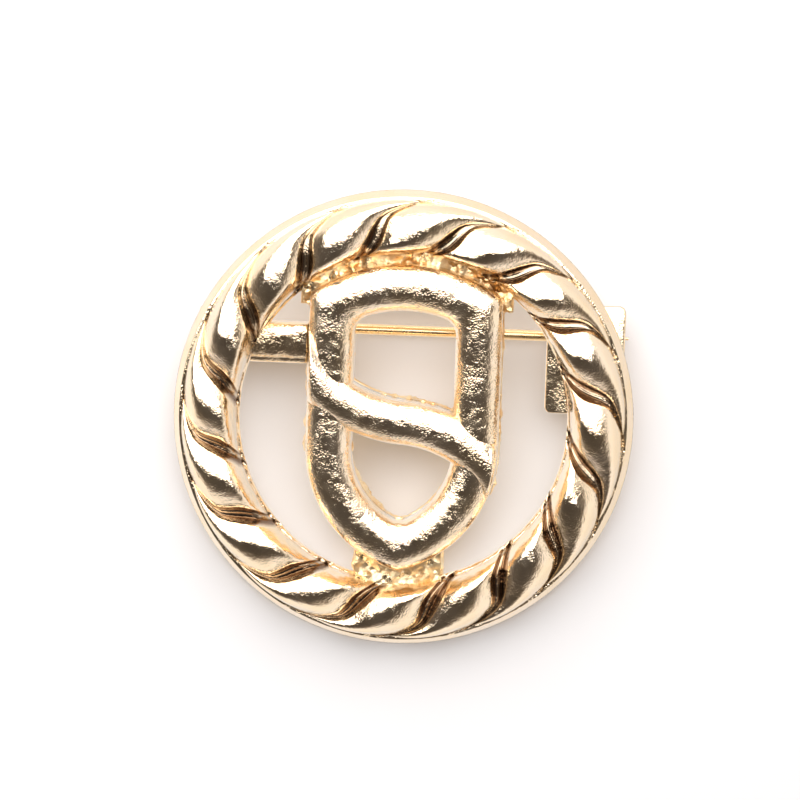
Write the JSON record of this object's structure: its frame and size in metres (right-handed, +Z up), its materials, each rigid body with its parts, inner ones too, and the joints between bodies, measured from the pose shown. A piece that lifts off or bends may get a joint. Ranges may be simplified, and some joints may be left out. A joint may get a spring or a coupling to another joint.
{
  "type": "pin-back badge",
  "caption": "Round open-work badge: a twisted-rope ring round a shield crossed by a wavy band, with a hinged pin and a turning safety catch behind.",
  "frame": {"origin": "centre of the ring on its flat back, the plane that lies against the cloth", "axes": "+Z up as the badge is worn, -Y out of its face towards the viewer, +X to the viewer's right"},
  "size_m": [0.034, 0.0078, 0.034],
  "materials": {
    "cast_gold": "pale gold plate, polished over a slightly pebbled casting",
    "back_gold": "pale gold plate over an unpolished casting",
    "finding_gold": "gold plated stamping, satin",
    "pin_wire": "drawn steel wire, thinly gold plated"
  },
  "bodies": {
    "badge": {"rope_ring": "cast_gold", "shield": "cast_gold", "backing_plate": "back_gold", "hinge_bar": "back_gold", "catch_tab": "back_gold", "hinge_bracket": "finding_gold", "hinge_rivet": "finding_gold", "catch_housing": "finding_gold"},
    "pin": {"pin_stem": "pin_wire"},
    "catch": {"catch_roller": "finding_gold"}
  },
  "joints": [
    {"name": "pin_swing", "type": "hinge", "parent": "badge", "child": "pin", "pos_m": [-0.0136, 0.00245, 0.0061], "axis": [0, 0, 1], "range_deg": [0, 115]},
    {"name": "catch_turn", "type": "hinge", "parent": "badge", "child": "catch", "pos_m": [0.0135, 0.00245, 0.0061], "axis": [1, 0, 0], "range_deg": [0, 140]}
  ]
}
